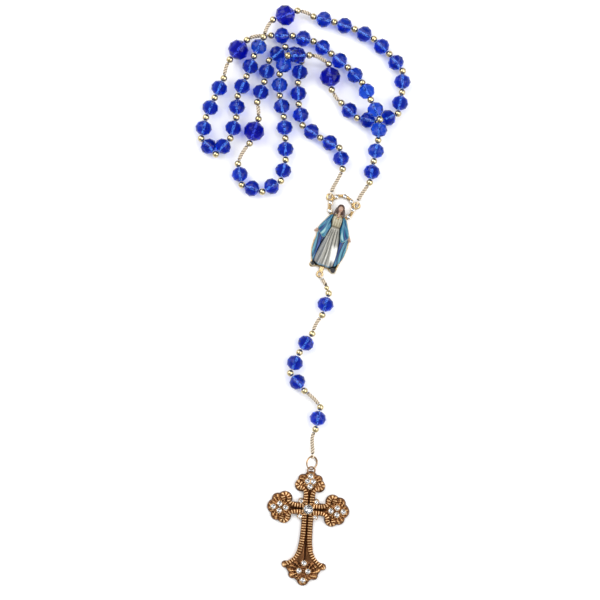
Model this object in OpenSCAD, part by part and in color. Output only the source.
// Rosary: five decades of glass beads on one cord, a centre medal and a pendant with a cross.
// It lies flat on z = 0, with the front of the medal and of the cross facing +Z.
// Every gold bead is a vertex of the chain, and every glass bead sits halfway between two of them.

/* [Beads] */
// Diameter of a small glass bead
bead_d = 8; // [7.6:0.1:8]
// Length of a small glass bead along the cord
bead_len = 6.86; // [6.5:0.02:6.86]
// Diameter of a large glass bead
large_d = 10.2; // [9.6:0.1:10.2]
// Length of a large glass bead along the cord
large_len = 9; // [8.6:0.1:9]
// Diameter of a gold spacer bead
gold_d = 3.3; // [3:0.1:3.3]

/* [Cord] */
// Diameter of the cord inside the beads
thread_d = 0.84; // [0.6:0.02:0.84]
// Diameter of a wrapped cord knot
wrap_d = 2; // [1.6:0.1:2]

/* [Medal] */
// Thickness of the medal's cast plate
plate_t = 1.5; // [1.2:0.1:1.8]
// Height of the relief above the table
relief_h = 4.2; // [3.8:0.1:4.4]
// Diameter of a halo stone
halo_stone_d = 1.7; // [1.4:0.1:1.8]

/* [Cross] */
// Thickness of the cross's flat body
cross_t = 2.4; // [2:0.1:2.6]
// Diameter of the centre stone
centre_stone_d = 4.2; // [3.6:0.1:4.4]
// Thickness of the jump ring's wire
ring_wire_d = 0.76; // [0.6:0.02:0.76]

/* [Hidden] */
smooth = 32;

// Spacing along the chain
gap = 0.09;
gold_r = gold_d / 2;
pitch = bead_len + gold_d + 2 * gap;
large_pitch = large_len + gold_d + 2 * gap;
thread_r = thread_d / 2;
knot_r = wrap_d / 2;
bore_r = thread_r + 0.05;
bore_ball = bore_r + 0.2;
thread_end = gold_r + 0.05;
knot_end = gold_r + 0.12;

// Routes of the five decades, about one point for each gold bead
route_1 = [
    [32.5, 54.5, 4], [34.5, 65, 4], [36.5, 75, 6.2], [37, 84.5, 10.2], [32.5, 94, 9.6], [28, 103.5, 5],
    [20.5, 111, 4], [12.5, 117.5, 4], [4, 123, 4], [-6, 125, 4], [-16, 125, 4], [-24, 125, 4]
];
route_2 = [
    [-37.5, 104.5, 4], [-42, 95, 4], [-46, 86, 4], [-48.5, 76, 4], [-41.5, 68, 4], [-34.5, 75.5, 4],
    [-31.5, 86, 4], [-31, 95.5, 4], [-27, 104.5, 4], [-23.5, 114, 4.5], [-19, 122.5, 7.6],
    [-14, 130, 8]
];
route_3 = [
    [5.5, 134, 4.5], [15.5, 131.5, 4], [25.5, 128, 4], [35, 123, 4], [42.5, 115.5, 4], [48.5, 107.5, 4],
    [48, 97.5, 4], [46.5, 88, 4], [36.5, 83.5, 4], [26.5, 85.5, 4], [19, 92.5, 4], [14, 100, 4]
];
route_4 = [
    [3.5, 114.5, 11], [-7, 114, 12.2], [-11, 104.5, 6.4], [-10.5, 94.5, 4], [-8.5, 84.5, 4],
    [-8, 74, 4], [-8, 64, 4], [-11, 54, 4], [-20.5, 50, 4], [-30, 54.5, 4], [-30.5, 65, 4], [-27, 73, 4]
];
route_5 = [
    [-21.5, 93, 4], [-18, 103, 4.5], [-16, 112.5, 5], [-8.5, 119.5, 4], [-0.5, 113.5, 4],
    [-2, 102, 4], [-1.5, 91.5, 4], [0.5, 81.5, 4], [9.5, 75.5, 4], [18.5, 70.5, 4], [19.5, 60.5, 4],
    [19, 52, 4]
];
SAMPLES = 12;
SPACERS = 11;

// Large beads: centre and heading of the cord through them, in degrees
large_beads = [[-30.5, 118, 5.1, 229], [-8, 134.5, 5.6, 20], [13.5, 105, 5.1, 97], [-23, 79, 5.1, 70]];

// Gold beads of the pendant, one point for each
pendant_route = [
    [12.8, 1.2, 4], [9.7, -9.2, 4], [4.9, -18.1, 4], [-1.2, -27.1, 4],
    [-5.6, -37, 4], [1.2, -45.5, 4], [8.8, -53.4, 4], [6.5, -64, 4]
];
crimp_r = 1.2;

// Medal: its own axes start at the centre of its lower eye
medal_at = [8.5, 10.5, 0];
medal_turn = -18;
eye_z = 1.4;
eye_ring_r = 1.27;
eye_wire_r = 0.42;
lower_eye_turn = 28;
upper_eyes = [[-6.8, 36.9], [6.8, 36.9]];
halo_at = [0, 33.7];
halo_r = 5.7;
halo_step = 41;
halo_gap = 70;
halo_low = 0.5;
halo_t = 1.4;
halo_w = 2;
halo_seat_z = 1.4;
pocket_h = 4;
seat_gap = 0.04;
head_at = [0, 32.8, 2.3];
head_r = 2.15;
hands_at = [[-8, 19.6], [8, 19.6]];
hand_r = 0.9;
dress_round_w = 8;
mantle_round_w = 9.6;
mantle_drop = 0.6;
loop_wire_r = 0.34;
loop_ring_r = eye_wire_r + loop_wire_r + 0.1;
loop_reach = loop_ring_r + loop_wire_r + 0.08;

// Cross: its own axes start at the middle of the centre stone
cross_at = [3, -102.5, 0];
cross_turn = -4.5;
bail_at = [0, 18.6, 2.3];
bail_r = 1.75;
bail_wire_r = 0.42;
ring_r = 3.1;
ring_tilt = 38;
ring_wire_r = ring_wire_d / 2;
ring_foot = bail_at.y + bail_r - 1.2;
ring_loop_r = ring_wire_r + loop_wire_r + 0.1;
lobe_stone_d = 2.4;
small_stone_d = 1.9;

function unit(v) = v / norm(v);
function flat(angle) = [cos(angle), sin(angle), 0];
function turn(v, angle) = [v.x * cos(angle) - v.y * sin(angle), v.x * sin(angle) + v.y * cos(angle), v.z];
function blend_point(a, b, c, d, t) =
    0.5 * (2 * b + (c - a) * t + (2 * a - 5 * b + 4 * c - d) * t * t + (3 * b - a - 3 * c + d) * t * t * t);
function smooth_route(p) = [
    for (i = [0 : len(p) - 2])
        for (k = [0 : SAMPLES - 1])
            blend_point(p[max(i - 1, 0)], p[i], p[i + 1], p[min(i + 2, len(p) - 1)], k / SAMPLES),
    p[len(p) - 1]
];
// The last sample from i on that is nearer to p than one chord
function last_near(c, i, p, chord) = norm(c[i + 1] - p) >= chord ? i : last_near(c, i + 1, p, chord);
// n vertices one chord apart, laid along the sampled curve c
function chain(c, i, p, chord, n) = n == 1 ? [p] :
    let (
        j = last_near(c, i, p, chord),
        near = norm(c[j] - p),
        far = norm(c[j + 1] - p),
        q = c[j] + (c[j + 1] - c[j]) * (chord - near) / (far - near)
    )
    concat([p], chain(c, j, q, chord, n - 1));
function lay_decade(route) = let (c = smooth_route(route)) chain(c, 0, route[0], pitch, SPACERS);
function last(list) = list[len(list) - 1];
function part_of(list, first, end) = [for (i = [first : end]) list[i]];

d1 = lay_decade(route_1);
d2 = lay_decade(route_2);
d3 = lay_decade(route_3);
d4 = lay_decade(route_4);
d5 = lay_decade(route_5);
large = [
    for (b = large_beads)
        let (c = [b.x, b.y, b.z], reach = flat(b[3]) * large_pitch / 2) [c - reach, c + reach]
];

// First and last vertices of the three lobes that lift off the table
LEFT_LOBE_END = 8;
RIGHT_LOBE_END = 7;
LOWER_LOBE_START = 5;

// Places on the medal, in the part's frame
function on_medal(u, v, z) = medal_at + turn([u, v, z], medal_turn);
lower_eye = medal_at + [0, 0, eye_z];
lower_rim = lower_eye + eye_ring_r * flat(lower_eye_turn - 90);
upper_rims = [for (e = upper_eyes) on_medal(e.x, e.y + eye_ring_r, eye_z)];
medal_up = turn([0, 1, 0], medal_turn);
crimp_at = pendant_route[0] + unit(lower_rim - pendant_route[0] + [0.6, 1.2, 0]) * (gold_r + crimp_r + gap);

// Places on the cross and the ring, in the part's frame
function on_cross(u, v, z) = cross_at + turn([u, v, z], cross_turn);
ring_at = on_cross(0, ring_foot + ring_r, bail_at.z);
ring_top = on_cross(0, ring_foot + 2 * ring_r, bail_at.z);
cross_up = turn([0, 1, 0], cross_turn);
ring_loop_axis = [0, ring_tilt, cross_turn];

// Every knot is a smooth cord from one point and heading to another
function knot_path(a, a_dir, b, b_dir, n) =
    let (h = norm(b - a) / 3, c = a + a_dir * h, d = b - b_dir * h)
    [for (i = [0 : n]) let (t = i / n, s = 1 - t)
        a * s * s * s + 3 * c * s * s * t + 3 * d * s * t * t + b * t * t * t];
// A knot between two gold beads; bend_a and bend_b turn its ends off the straight line
function bead_knot(a, b, bend_a, bend_b, n) =
    let (line = unit(b - a), from = turn(line, bend_a), to = turn(line, bend_b))
    knot_path(a + from * knot_end, from, b - to * knot_end, to, n);

knot_into_1 = bead_knot(d1[SPACERS - 1], large[0][0], -8, 20, 3);
knot_out_of_1 = bead_knot(large[0][1], d2[0], -12, 8, 3);
knot_into_2 = bead_knot(d2[SPACERS - 1], large[1][0], 12, -14, 3);
knot_out_of_2 = bead_knot(large[1][1], d3[0], 12, -14, 3);
knot_into_3 = bead_knot(d3[SPACERS - 1], large[2][0], 10, -8, 3);
knot_out_of_3 = bead_knot(large[2][1], d4[0], -14, 20, 3);
knot_into_4 = bead_knot(d4[SPACERS - 1], large[3][0], 12, -10, 3);
knot_out_of_4 = bead_knot(large[3][1], d5[0], -6, 6, 3);
knot_to_left_eye = knot_path(
    d5[SPACERS - 1] + unit(upper_rims[0] + [2, 3, 2] - d5[SPACERS - 1]) * knot_end,
    unit(upper_rims[0] + [2, 3, 2] - d5[SPACERS - 1]), upper_rims[0] + medal_up * loop_reach, -medal_up, 5);
knot_to_right_eye = knot_path(
    upper_rims[1] + medal_up * loop_reach, medal_up,
    d1[0] - unit(d1[0] - upper_rims[1] - [0, 1, 1]) * knot_end, unit(d1[0] - upper_rims[1] - [0, 1, 1]), 5);
lower_out = flat(lower_eye_turn - 90);
crimp_in = unit(pendant_route[0] - crimp_at);
pendant_knots = [
    knot_path(
        lower_rim + lower_out * loop_reach, lower_out, crimp_at - crimp_in * (crimp_r + 0.1), crimp_in, 4
    ),
    bead_knot(pendant_route[1], pendant_route[2], -10, 10, 3),
    bead_knot(pendant_route[5], pendant_route[6], 8, -12, 3),
    knot_path(
        pendant_route[7] + unit([-0.5, -1, -0.1]) * knot_end, unit([-0.5, -1, -0.1]),
        ring_top + cross_up * (ring_loop_r + loop_wire_r + 0.06), -cross_up, 5)
];

// Puts the children's own +Z along the line from one point to another
module aim(from, to) {
    d = to - from;
    translate(from) rotate([0, acos(d.z / norm(d)), atan2(d.y, d.x)]) children();
}

// Bored glass bead with rounded shoulders, centred on the origin, its bore along Z
module glass_bead(d, len, bore) {
    shoulder = 73;
    half = len / 2 / sin(shoulder);
    profile = [for (i = [-5 : 5]) [d / 2 * cos(shoulder * i / 5), half * sin(shoulder * i / 5)]];
    rotate_extrude($fn = smooth) polygon(concat([[bore, -len / 2]], profile, [[bore, len / 2]]));
}

// One glass bead halfway between two vertices
module bead_between(a, b, d, len) {
    aim((a + b) / 2, b) glass_bead(d, len, bore_r);
}

module beads(v, first, last) {
    color("royalblue")
        for (i = [first : last]) bead_between(v[i], v[i + 1], bead_d, bead_len);
}

// Gold bead at a vertex, bored towards both of its neighbours. Its own X points away from the bend.
module gold_bead(at, before, after) {
    a = unit(before - at);
    b = unit(after - at);
    bend = norm(a + b) > 0.02 ? -unit(a + b) : unit(cross(a, [0.1, 0.2, 1]));
    half_turn = acos(max(-1, min(1, a * bend)));
    normal = norm(cross(a, b)) > 0.02 ? unit(cross(a, b)) : unit(cross(a, bend));
    side = cross(normal, bend);
    s = side * a > 0 ? 1 : -1;
    multmatrix([
        [bend.x, side.x, normal.x, at.x], [bend.y, side.y, normal.y, at.y],
        [bend.z, side.z, normal.z, at.z], [0, 0, 0, 1]
    ]) difference() {
        sphere(gold_r, $fn = smooth);
        sphere(bore_ball, $fn = 24);
        for (k = [s, -s]) rotate(k * half_turn) rotate([0, 90, 0])
            translate([0, 0, bore_ball / 3]) cylinder(h = 2 * gold_r, r = bore_r, $fn = 24);
    }
}

// v holds the point before the first gold bead and the point after the last one too
module gold_beads(v, first, last) {
    color("goldenrod")
        for (i = [first : last]) gold_bead(v[i], v[i - 1], v[i + 1]);
}

// Swept tube: eight-sided rings along a path
SIDES = 8;
function ring_points(p, t, r) =
    let (side = unit(cross(t, [0.02, 0.01, 1])), up = cross(t, side))
    [for (k = [0 : SIDES - 1]) p + r * (side * cos(k * 360 / SIDES) + up * sin(k * 360 / SIDES))];
function tangent(p, i) = unit(p[min(i + 1, len(p) - 1)] - p[max(i - 1, 0)]);
module tube(path, r) {
    n = len(path);
    rings = [for (i = [0 : n - 1]) each ring_points(path[i], tangent(path, i), r)];
    walls = [
        for (i = [0 : n - 2])
            for (k = [0 : SIDES - 1])
                let (a = i * SIDES + k, b = i * SIDES + (k + 1) % SIDES)
                each [[a, a + SIDES, b + SIDES], [a, b + SIDES, b]]
    ];
    near_cap = [for (k = [0 : SIDES - 1]) k];
    far_cap = [for (k = [SIDES - 1 : -1 : 0]) (n - 1) * SIDES + k];
    color("wheat") polyhedron(rings, concat(walls, [near_cap, far_cap]));
}

module torus(ring, wire) {
    rotate_extrude($fn = smooth) translate([ring, 0]) circle(wire, $fn = 24);
}

// Thread loop round an eye's rim: its axis lies along the rim
module thread_loop(at, rim_axis, ring) {
    color("wheat") translate(at) rotate(rim_axis) torus(ring, loop_wire_r);
}

// One decade's vertices with the last point of the knot before it and the first of the knot after it
run_1 = concat([last(knot_to_right_eye)], d1, [knot_into_1[0]]);
run_2 = concat([last(knot_out_of_1)], d2, [knot_into_2[0]]);
run_3 = concat([last(knot_out_of_2)], d3, [knot_into_3[0]]);
run_4 = concat([last(knot_out_of_3)], d4, [knot_into_4[0]]);
run_5 = concat([last(knot_out_of_4)], d5, [knot_to_left_eye[0]]);
large_runs = [
    [last(knot_into_1), each large[0], knot_out_of_1[0]],
    [last(knot_into_2), each large[1], knot_out_of_2[0]],
    [last(knot_into_3), each large[2], knot_out_of_3[0]],
    [last(knot_into_4), each large[3], knot_out_of_4[0]]
];

module decade_1_beads() { beads(d1, 0, SPACERS - 2); }
module decade_2_beads() { beads(d2, LEFT_LOBE_END, SPACERS - 2); }
module decade_3_beads() { beads(d3, RIGHT_LOBE_END, SPACERS - 2); }
module decade_4_beads() { beads(d4, 0, LOWER_LOBE_START - 1); }
module decade_5_beads() { beads(d5, 0, SPACERS - 2); }
module left_lobe_beads() { beads(d2, 0, LEFT_LOBE_END - 1); }
module right_lobe_beads() { beads(d3, 0, RIGHT_LOBE_END - 1); }
module lower_lobe_beads() { beads(d4, LOWER_LOBE_START, SPACERS - 2); }

module our_father_bead(i) {
    color("mediumblue") bead_between(large[i][0], large[i][1], large_d, large_len);
}

module our_father_spacers() {
    for (r = large_runs) gold_beads(r, 1, 2);
}

module decade_1_spacers() { gold_beads(run_1, 1, SPACERS); }
module decade_2_spacers() {
    gold_beads(run_2, 1, 1);
    gold_beads(run_2, LEFT_LOBE_END + 1, SPACERS);
}
module decade_3_spacers() {
    gold_beads(run_3, 1, 1);
    gold_beads(run_3, RIGHT_LOBE_END + 1, SPACERS);
}
module decade_4_spacers() { gold_beads(run_4, 1, LOWER_LOBE_START + 1); }
module decade_5_spacers() { gold_beads(run_5, 1, SPACERS); }
module left_lobe_spacers() { gold_beads(run_2, 2, LEFT_LOBE_END); }
module right_lobe_spacers() { gold_beads(run_3, 2, RIGHT_LOBE_END); }
module lower_lobe_spacers() { gold_beads(run_4, LOWER_LOBE_START + 2, SPACERS); }

// The point on the line from a to b where a thread's end meets a gold bead's face at a
function face_point(a, b) = a + unit(b - a) * thread_end;
function trimmed(v) = [
    for (i = [0 : len(v) - 1])
        i == 0 ? face_point(v[1], v[0]) :
        i == len(v) - 1 ? face_point(v[i - 1], v[i]) : v[i]
];
// A lobe's thread runs between the faces of the two gold beads that it turns about
function lobe_run(v, first, end) = [
    face_point(v[first], v[first + 1]),
    each part_of(v, first + 1, end - 1),
    face_point(v[end], v[end - 1])
];

function from_face(v, before) = concat([face_point(v[0], before)], v);
function to_face(v, after) = concat(v, [face_point(last(v), after)]);

module loop_cord() {
    for (run = concat([run_1, run_5], large_runs)) tube(trimmed(run), thread_r);
    tube(from_face([d2[0]], run_2[0]), thread_r);
    tube(to_face(part_of(d2, LEFT_LOBE_END, SPACERS - 1), last(run_2)), thread_r);
    tube(from_face([d3[0]], run_3[0]), thread_r);
    tube(to_face(part_of(d3, RIGHT_LOBE_END, SPACERS - 1), last(run_3)), thread_r);
    tube(from_face(part_of(d4, 0, LOWER_LOBE_START), run_4[0]), thread_r);
}
module left_lobe_cord() { tube(lobe_run(d2, 0, LEFT_LOBE_END), thread_r); }
module right_lobe_cord() { tube(lobe_run(d3, 0, RIGHT_LOBE_END), thread_r); }
module lower_lobe_cord() {
    start = face_point(d4[LOWER_LOBE_START], d4[LOWER_LOBE_START + 1]);
    tube(concat([start], to_face(part_of(d4, LOWER_LOBE_START + 1, SPACERS - 1), last(run_4))), thread_r);
}

module loop_knots() {
    knots = [
        knot_into_1, knot_out_of_1, knot_into_2, knot_out_of_2, knot_into_3, knot_out_of_3, knot_out_of_4
    ];
    for (k = knots) tube(k, knot_r);
}
module lower_lobe_knot() { tube(knot_into_4, knot_r); }
module medal_knot_left() {
    tube(knot_to_left_eye, knot_r);
    thread_loop(upper_rims[0], [0, 90, medal_turn], loop_ring_r);
}
module medal_knot_right() {
    tube(knot_to_right_eye, knot_r);
    thread_loop(upper_rims[1], [0, 90, medal_turn], loop_ring_r);
}

// Outline of one half of the medal's plate, from the neck down to the base
plate_half = [
    [0, 29.6], [2.6, 29.4], [4.6, 28], [6.3, 25], [7.6, 22], [8.9, 20.4], [8.6, 18.2], [7.8, 14],
    [7.6, 9], [7, 4.6], [4.6, 2.2], [1.2, 1.6], [0, 1.2]
];
dress_half = [
    [0, 29], [1.6, 28.6], [2.2, 26.4], [1.7, 23.4], [2.6, 19], [3.2, 12], [4.4, 5], [3.2, 3.4], [0, 3]
];
function flip(p) = [-p.x, p.y];
function mirrored(half) = concat(half, [for (i = [len(half) - 2 : -1 : 1]) flip(half[i])]);

// A long round back that rounds the relief off towards its sides
module relief_round(height, width) {
    r = (height * height + width * width) / (2 * height);
    translate([0, 0, height - r]) rotate([-90, 0, 0]) cylinder(h = halo_at.y, r = r, $fn = 96);
}

module on_medal_frame() {
    translate(medal_at) rotate(medal_turn) children();
}

module medal_eye(at) {
    translate([at.x, at.y, eye_z]) torus(eye_ring_r, eye_wire_r);
}

// Puts the children at every stone of the halo
module halo_places(z) {
    for (i = [-3 : 3]) translate([halo_at.x, halo_at.y, z]) rotate(i * halo_step)
        translate([0, halo_r, 0]) children();
}
// Short bar from the shoulder out to the end of the halo
module halo_brace(side) {
    translate([side * 3.4, 29.2, halo_low]) rotate(-side * 22) translate([-0.7, -2.4, 0]) cube([1.4, 3.4, 1]);
}

module medal_casting() {
    foot = [[-1.4, 1.9], [1.4, 1.9], [0.8, 1.1], [-0.8, 1.1]];
    color("goldenrod") on_medal_frame() {
        linear_extrude(plate_t) polygon(mirrored(plate_half));
        linear_extrude(plate_t) polygon(foot);
        difference() {
            translate([halo_at.x, halo_at.y, halo_low]) rotate(halo_gap / 2 - 90)
                rotate_extrude(angle = 360 - halo_gap, $fn = 64)
                    translate([halo_r - halo_w / 2, 0]) square([halo_w, halo_t]);
            halo_places(halo_seat_z) cylinder(h = pocket_h, d = halo_stone_d, $fn = 24);
        }
        translate([halo_at.x, halo_at.y, halo_low]) cylinder(h = plate_t - halo_low, r = 2.6, $fn = smooth);
        translate([-1.3, 27.5, 0]) cube([2.6, 4.5, plate_t]);
        for (side = [-1, 1]) halo_brace(side);
        for (e = upper_eyes) medal_eye(e);
        medal_eye([0, 0]);
    }
}

// Cut stone: a short girdle, a sloping crown and a flat table, standing on its girdle
module cut_stone(d, h) {
    rotate_extrude($fn = smooth)
        polygon([[0, 0], [d / 2, 0], [d / 2, h * 0.4], [d * 0.3, h], [0, h]]);
}

module medal_halo_stones() {
    color("white") on_medal_frame()
        halo_places(halo_seat_z + seat_gap / 2) cut_stone(halo_stone_d - seat_gap, 1.1);
}

module medal_dress() {
    color("ivory") on_medal_frame() intersection() {
        translate([0, 0, plate_t]) linear_extrude(relief_h) polygon(mirrored(dress_half));
        relief_round(relief_h, dress_round_w);
    }
}

module medal_mantle() {
    color("lightskyblue") on_medal_frame() intersection() {
        difference() {
            translate([0, 0, plate_t]) linear_extrude(relief_h) intersection() {
                polygon(mirrored(plate_half));
                translate([-10, 4]) square([20, 23.8]);
            }
            linear_extrude(2 * relief_h) polygon(mirrored(dress_half));
            for (h = hands_at) translate([h.x, h.y, 0])
                cylinder(h = 2 * relief_h, r = hand_r + 0.2, $fn = 24);
        }
        relief_round(relief_h - mantle_drop, mantle_round_w);
    }
}

module medal_head_and_hands() {
    color("sienna") on_medal_frame() {
        difference() {
            translate(head_at) sphere(head_r, $fn = smooth);
            translate([-3, 26, -1]) cube([6, 12, 1 + plate_t + seat_gap / 2]);
        }
        for (h = hands_at) translate([h.x, h.y, plate_t + seat_gap / 2])
            cylinder(h = 1, r = hand_r, $fn = 24);
    }
}

module medal_lower_thread_loop() {
    thread_loop(lower_rim, [0, 90, lower_eye_turn], loop_ring_r);
}

module pendant_knot(i) { tube(pendant_knots[i], knot_r); }
module pendant_knot_4() {
    pendant_knot(3);
    thread_loop(ring_top, [0, 90 + ring_tilt, cross_turn], ring_loop_r);
}

// Stretches of pendant cord between the gold bead above and the gold bead below each glass bead
pendant_links = [[0, 1], [2, 3], [3, 4], [4, 5], [6, 7]];
module pendant_cord(i) {
    a = pendant_route[pendant_links[i][0]];
    b = pendant_route[pendant_links[i][1]];
    tube([face_point(a, b), b], thread_r);
}
module pendant_bead(i) {
    link = pendant_links[i];
    color("royalblue") bead_between(pendant_route[link[0]], pendant_route[link[1]], bead_d, bead_len);
}
pendant_run = concat([crimp_at], pendant_route, [pendant_knots[3][0]]);
module pendant_spacer(i) { gold_beads(pendant_run, i + 1, i + 1); }
module pendant_spacer_1() {
    pendant_spacer(0);
    color("goldenrod") translate(crimp_at) sphere(crimp_r, $fn = smooth);
}

module jump_ring() {
    color("goldenrod") translate(ring_at) rotate([0, 0, cross_turn]) rotate([0, ring_tilt, 0])
        torus(ring_r, ring_wire_r);
}

// One short arm of the cross, from the middle out to its lobe
module arm(reach) {
    translate([-arm_half, 0]) square([2 * arm_half, reach]);
}
// Lobe at the end of a short arm: two side balls, two shoulders and a rounded tip
module lobe(half_w, depth) {
    ball = depth * 0.3;
    shoulder = depth * 0.24;
    for (s = [-1, 1]) {
        translate([s * (half_w - ball), ball]) circle(ball, $fn = smooth);
        translate([s * half_w * 0.48, depth - 1.7 * shoulder]) circle(shoulder, $fn = smooth);
    }
    translate([0, depth - ball]) circle(ball, $fn = smooth);
    translate([0, depth * 0.45]) circle(depth * 0.38, $fn = smooth);
}
// The long arm flares out to a small ball on each side and narrows in scallops to its tip
shaft_half = [
    [2.9, 0], [2.9, 10], [3.2, 16], [3.9, 20.6], [5.2, 23.4], [6.8, 25], [9.1, 26.2], [8.6, 29], [7.3, 31],
    [6.2, 32.4], [2.6, 35], [0, 36]
];
side_ball = [9.1, 27.4, 1.7];
scallop = [5.2, 32, 2];
tip_ball = [0, 34.2, 2.9];
module long_arm() {
    polygon(mirrored(concat([[0, 0]], shaft_half)));
    for (s = [-1, 1]) for (c = [side_ball, scallop])
        translate([s * c.x, c.y]) circle(c.z, $fn = smooth);
    translate([tip_ball.x, tip_ball.y]) circle(tip_ball.z, $fn = smooth);
}
LONG_ARM = 2;
arm_half = 2.9;
arm_angle = [0, 90, 180, -90];
arm_reach = [8.5, 8.3, 25, 8.3];
lobe_half = [7.4, 7.8, 0, 7.8];
lobe_depth = [9.8, 11.6, 12.1, 11.6];
rope_r = 0.75;
rope_x = 1.85;
// Collar round the centre stone, and the round bosses in the four corners
collar_w = 0.5;
collar_h = 0.9;
corner_out = 5.2;
boss_r = 1.4;
boss_h = 0.4;
// How deep each kind of stone is set into the cross
centre_sink = 0.2;
corner_sink = 0.4;
lobe_sink = 0.5;

// Diamond of stones on each lobe: distances along the arm to its first stone, its middle pair and
// its last stone, and then half the width of the pair
lobe_diamonds = [
    [10.9, 13.4, 15.8, 1.4], [10.9, 13.9, 16.9, 1.65], [26, 29.8, 34.2, 2.2], [10.9, 13.9, 16.9, 1.65]
];
// Puts the children at every stone of the four lobes
module lobe_places(z) {
    for (i = [0 : 3]) {
        diamond = lobe_diamonds[i];
        for (p = [[0, diamond[0]], [diamond[3], diamond[1]], [-diamond[3], diamond[1]], [0, diamond[2]]])
            rotate(arm_angle[i]) translate([p.x, p.y, z]) children();
    }
}
// Puts the children in each of the four corners between the arms
module corner_places(z) {
    for (angle = arm_angle) rotate(angle + 45) translate([0, corner_out, z]) children();
}

module on_cross_frame() {
    translate(cross_at) rotate(cross_turn) children();
}

module rope_border(x, from, to) {
    translate([x, from, cross_t]) rotate([-90, 0, 0]) cylinder(h = to - from, r = rope_r, $fn = 24);
}

module cross_casting() {
    color("peru") on_cross_frame() difference() {
        union() {
            linear_extrude(cross_t) {
                for (i = [0, 1, 3]) rotate(arm_angle[i]) {
                    arm(arm_reach[i] + 1);
                    translate([0, arm_reach[i] - 0.4]) lobe(lobe_half[i], lobe_depth[i] + 0.4);
                }
                rotate(arm_angle[LONG_ARM]) long_arm();
            }
            for (i = [0 : 3]) rotate(arm_angle[i]) for (s = [-1, 1])
                rope_border(s * rope_x, arm_half, arm_reach[i] + 0.5);
            cylinder(h = cross_t + collar_h, r = centre_stone_d / 2 + collar_w, $fn = smooth);
            corner_places(0) cylinder(h = cross_t + boss_h, r = boss_r, $fn = smooth);
            translate(bail_at) torus(bail_r, bail_wire_r);
        }
        translate([0, 0, cross_t - centre_sink]) cylinder(h = pocket_h, d = centre_stone_d, $fn = smooth);
        corner_places(cross_t - corner_sink) cylinder(h = pocket_h, d = small_stone_d, $fn = 24);
        lobe_places(cross_t - lobe_sink) cylinder(h = pocket_h, d = lobe_stone_d, $fn = 24);
    }
}

module cross_stones() {
    seat = cross_t + seat_gap / 2;
    color("white") on_cross_frame() {
        translate([0, 0, seat - centre_sink]) cut_stone(centre_stone_d - seat_gap, 2);
        corner_places(seat - corner_sink) cut_stone(small_stone_d - seat_gap, 1.2);
        lobe_places(seat - lobe_sink) cut_stone(lobe_stone_d - seat_gap, 1.4);
    }
}

decade_1_beads();
decade_2_beads();
decade_3_beads();
decade_4_beads();
decade_5_beads();
left_lobe_beads();
right_lobe_beads();
lower_lobe_beads();
our_father_bead(0);  // our_father_bead_1
our_father_bead(1);  // our_father_bead_2
our_father_bead(2);  // our_father_bead_3
our_father_bead(3);  // our_father_bead_4
decade_1_spacers();
decade_2_spacers();
decade_3_spacers();
decade_4_spacers();
decade_5_spacers();
left_lobe_spacers();
right_lobe_spacers();
lower_lobe_spacers();
our_father_spacers();
loop_cord();
left_lobe_cord();
right_lobe_cord();
lower_lobe_cord();
loop_knots();
lower_lobe_knot();
medal_knot_left();
medal_knot_right();
medal_casting();
medal_halo_stones();
medal_dress();
medal_mantle();
medal_head_and_hands();
medal_lower_thread_loop();
pendant_knot(0);  // pendant_knot_1
pendant_knot(1);  // pendant_knot_2
pendant_knot(2);  // pendant_knot_3
pendant_knot_4();
pendant_cord(0);  // pendant_cord_1
pendant_cord(1);  // pendant_cord_2
pendant_cord(2);  // pendant_cord_3
pendant_cord(3);  // pendant_cord_4
pendant_cord(4);  // pendant_cord_5
pendant_bead(0);  // pendant_bead_1
pendant_bead(1);  // pendant_bead_2
pendant_bead(2);  // pendant_bead_3
pendant_bead(3);  // pendant_bead_4
pendant_bead(4);  // pendant_bead_5
pendant_spacer_1();
pendant_spacer(1);  // pendant_spacer_2
pendant_spacer(2);  // pendant_spacer_3
pendant_spacer(3);  // pendant_spacer_4
pendant_spacer(4);  // pendant_spacer_5
pendant_spacer(5);  // pendant_spacer_6
pendant_spacer(6);  // pendant_spacer_7
pendant_spacer(7);  // pendant_spacer_8
jump_ring();
cross_casting();
cross_stones();
